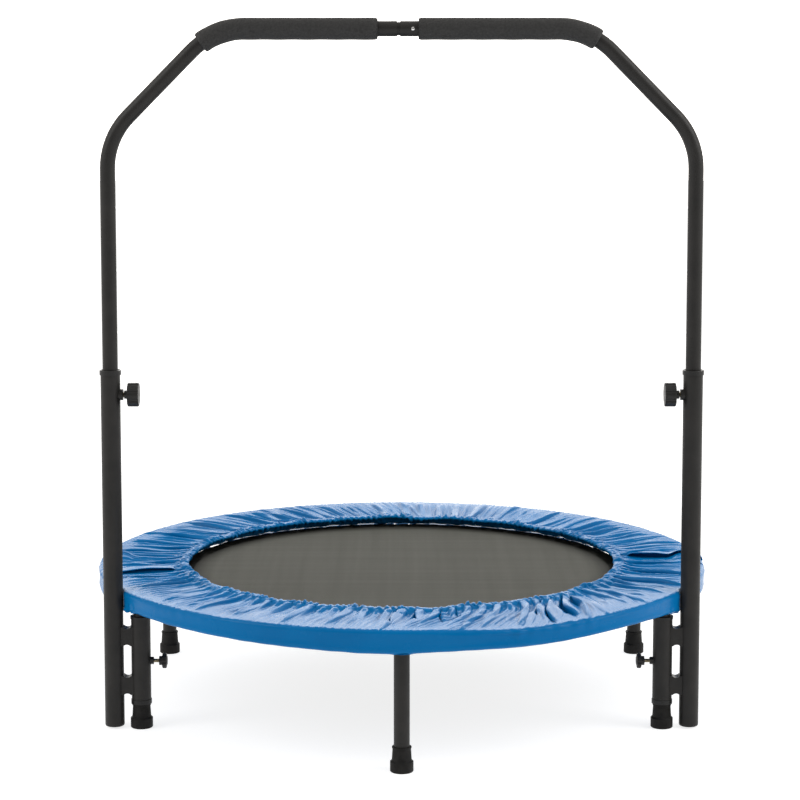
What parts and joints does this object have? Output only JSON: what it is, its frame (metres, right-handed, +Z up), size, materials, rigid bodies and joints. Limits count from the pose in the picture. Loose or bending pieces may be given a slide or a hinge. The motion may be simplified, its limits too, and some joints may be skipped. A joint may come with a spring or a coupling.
{
  "type": "mini trampoline",
  "caption": "Folding round mini trampoline: hinged ring frame on legs, sprung jumping mat, padded cover, and a height-adjustable handrail.",
  "frame": {"origin": "on the floor under the centre of the ring", "axes": "+Z up, +X along the fold line to the user's right seen from the handrail side, handrail on the -Y side"},
  "size_m": [1.044, 1.0438, 1.1626],
  "materials": {
    "frame_coat": "matte",
    "zinc": "satin",
    "bolt_zinc": "satin",
    "black_plastic": "satin",
    "rubber_foot": "matte",
    "foam": "matte",
    "mat_weave": "matte",
    "webbing": "matte",
    "cover_vinyl": "gloss",
    "chrome_button": "polished"
  },
  "bodies": {
    "frame_front": {"ring_front": "frame_coat", "leg_spigots_front": "frame_coat", "leg_front": "frame_coat", "leg_front_left": "frame_coat", "leg_front_right": "frame_coat", "foot_front": "rubber_foot", "foot_front_left": "rubber_foot", "foot_front_right": "rubber_foot", "hinge_lugs_front": "frame_coat", "mat_front": "mat_weave", "mat_hem_front": "webbing", "mat_rings_front": "zinc", "mat_springs_front": "zinc", "cover_front": "cover_vinyl", "hinge_bolts": "zinc", "hinge_nuts": "zinc", "post_left": "frame_coat", "post_right": "frame_coat", "post_collar_left": "black_plastic", "post_collar_right": "black_plastic", "post_caps": "black_plastic", "post_webs": "frame_coat", "sleeve_left": "frame_coat", "sleeve_right": "frame_coat", "sleeve_collars_left": "black_plastic", "sleeve_collars_right": "black_plastic", "knob_nuts_left": "frame_coat", "knob_nuts_right": "frame_coat"},
    "frame_rear": {"ring_rear": "frame_coat", "leg_spigots_rear": "frame_coat", "leg_rear": "frame_coat", "leg_rear_left": "frame_coat", "leg_rear_right": "frame_coat", "foot_rear": "rubber_foot", "foot_rear_left": "rubber_foot", "foot_rear_right": "rubber_foot", "hinge_lugs_rear": "frame_coat", "mat_rear": "mat_weave", "mat_hem_rear": "webbing", "mat_rings_rear": "zinc", "mat_springs_rear": "zinc", "cover_rear": "cover_vinyl"},
    "handrail": {"rail_tube_left": "frame_coat", "rail_tube_right": "frame_coat", "rail_coupler": "frame_coat", "rail_bushes": "black_plastic", "grip_left": "foam", "grip_right": "foam", "button_clip": "chrome_button"},
    "snap_button": {"snap_button": "chrome_button"},
    "post_screw_left": {"post_knob_stud_left": "bolt_zinc"},
    "post_knob_left": {"post_knob_head_left": "black_plastic"},
    "leg_screw_left": {"leg_knob_stud_left": "bolt_zinc"},
    "leg_knob_left": {"leg_knob_head_left": "black_plastic"},
    "post_screw_right": {"post_knob_stud_right": "bolt_zinc"},
    "post_knob_right": {"post_knob_head_right": "black_plastic"},
    "leg_screw_right": {"leg_knob_stud_right": "bolt_zinc"},
    "leg_knob_right": {"leg_knob_head_right": "black_plastic"}
  },
  "joints": [
    {"name": "frame_fold", "type": "hinge", "parent": "frame_front", "child": "frame_rear", "pos_m": [0, 0, 0.232], "axis": [1, 0, 0], "range_deg": [0, 179.5]},
    {"name": "rail_height", "type": "slide", "parent": "frame_front", "child": "handrail", "axis": [0, 0, 1], "range_m": [-0.3045, 0]},
    {"name": "button_press", "type": "slide", "parent": "handrail", "child": "snap_button", "axis": [0, 1, 0], "range_m": [0, 0.0036], "stiffness_N_per_m": 900, "springref_m": -0.002, "deforming": ["button_clip"]},
    {"name": "post_screw_left_travel", "type": "slide", "parent": "frame_front", "child": "post_screw_left", "axis": [1, 0, 0], "range_m": [0, 0.0076]},
    {"name": "post_knob_left_turn", "type": "hinge", "parent": "post_screw_left", "child": "post_knob_left", "pos_m": [-0.4735, -0.24775, 0.554], "axis": [1, 0, 0], "range_deg": [0, 2160]},
    {"name": "leg_screw_left_travel", "type": "slide", "parent": "frame_front", "child": "leg_screw_left", "axis": [1, 0, 0], "range_m": [0, 0.0061]},
    {"name": "leg_knob_left_turn", "type": "hinge", "parent": "leg_screw_left", "child": "leg_knob_left", "pos_m": [-0.42912, -0.24775, 0.1117], "axis": [1, 0, 0], "range_deg": [0, 2160]},
    {"name": "post_screw_right_travel", "type": "slide", "parent": "frame_front", "child": "post_screw_right", "axis": [-1, 0, 0], "range_m": [0, 0.0076]},
    {"name": "post_knob_right_turn", "type": "hinge", "parent": "post_screw_right", "child": "post_knob_right", "pos_m": [0.4735, -0.24775, 0.554], "axis": [-1, 0, 0], "range_deg": [0, 2160]},
    {"name": "leg_screw_right_travel", "type": "slide", "parent": "frame_front", "child": "leg_screw_right", "axis": [-1, 0, 0], "range_m": [0, 0.0061]},
    {"name": "leg_knob_right_turn", "type": "hinge", "parent": "leg_screw_right", "child": "leg_knob_right", "pos_m": [0.42912, -0.24775, 0.1117], "axis": [-1, 0, 0], "range_deg": [0, 2160]}
  ],
  "couplings": [
    {"joint": "post_screw_left_travel", "follows": "post_knob_left_turn", "m_per_rad": 0.00019894},
    {"joint": "leg_screw_left_travel", "follows": "leg_knob_left_turn", "m_per_rad": 0.00015915},
    {"joint": "post_screw_right_travel", "follows": "post_knob_right_turn", "m_per_rad": 0.00019894},
    {"joint": "leg_screw_right_travel", "follows": "leg_knob_right_turn", "m_per_rad": 0.00015915}
  ]
}
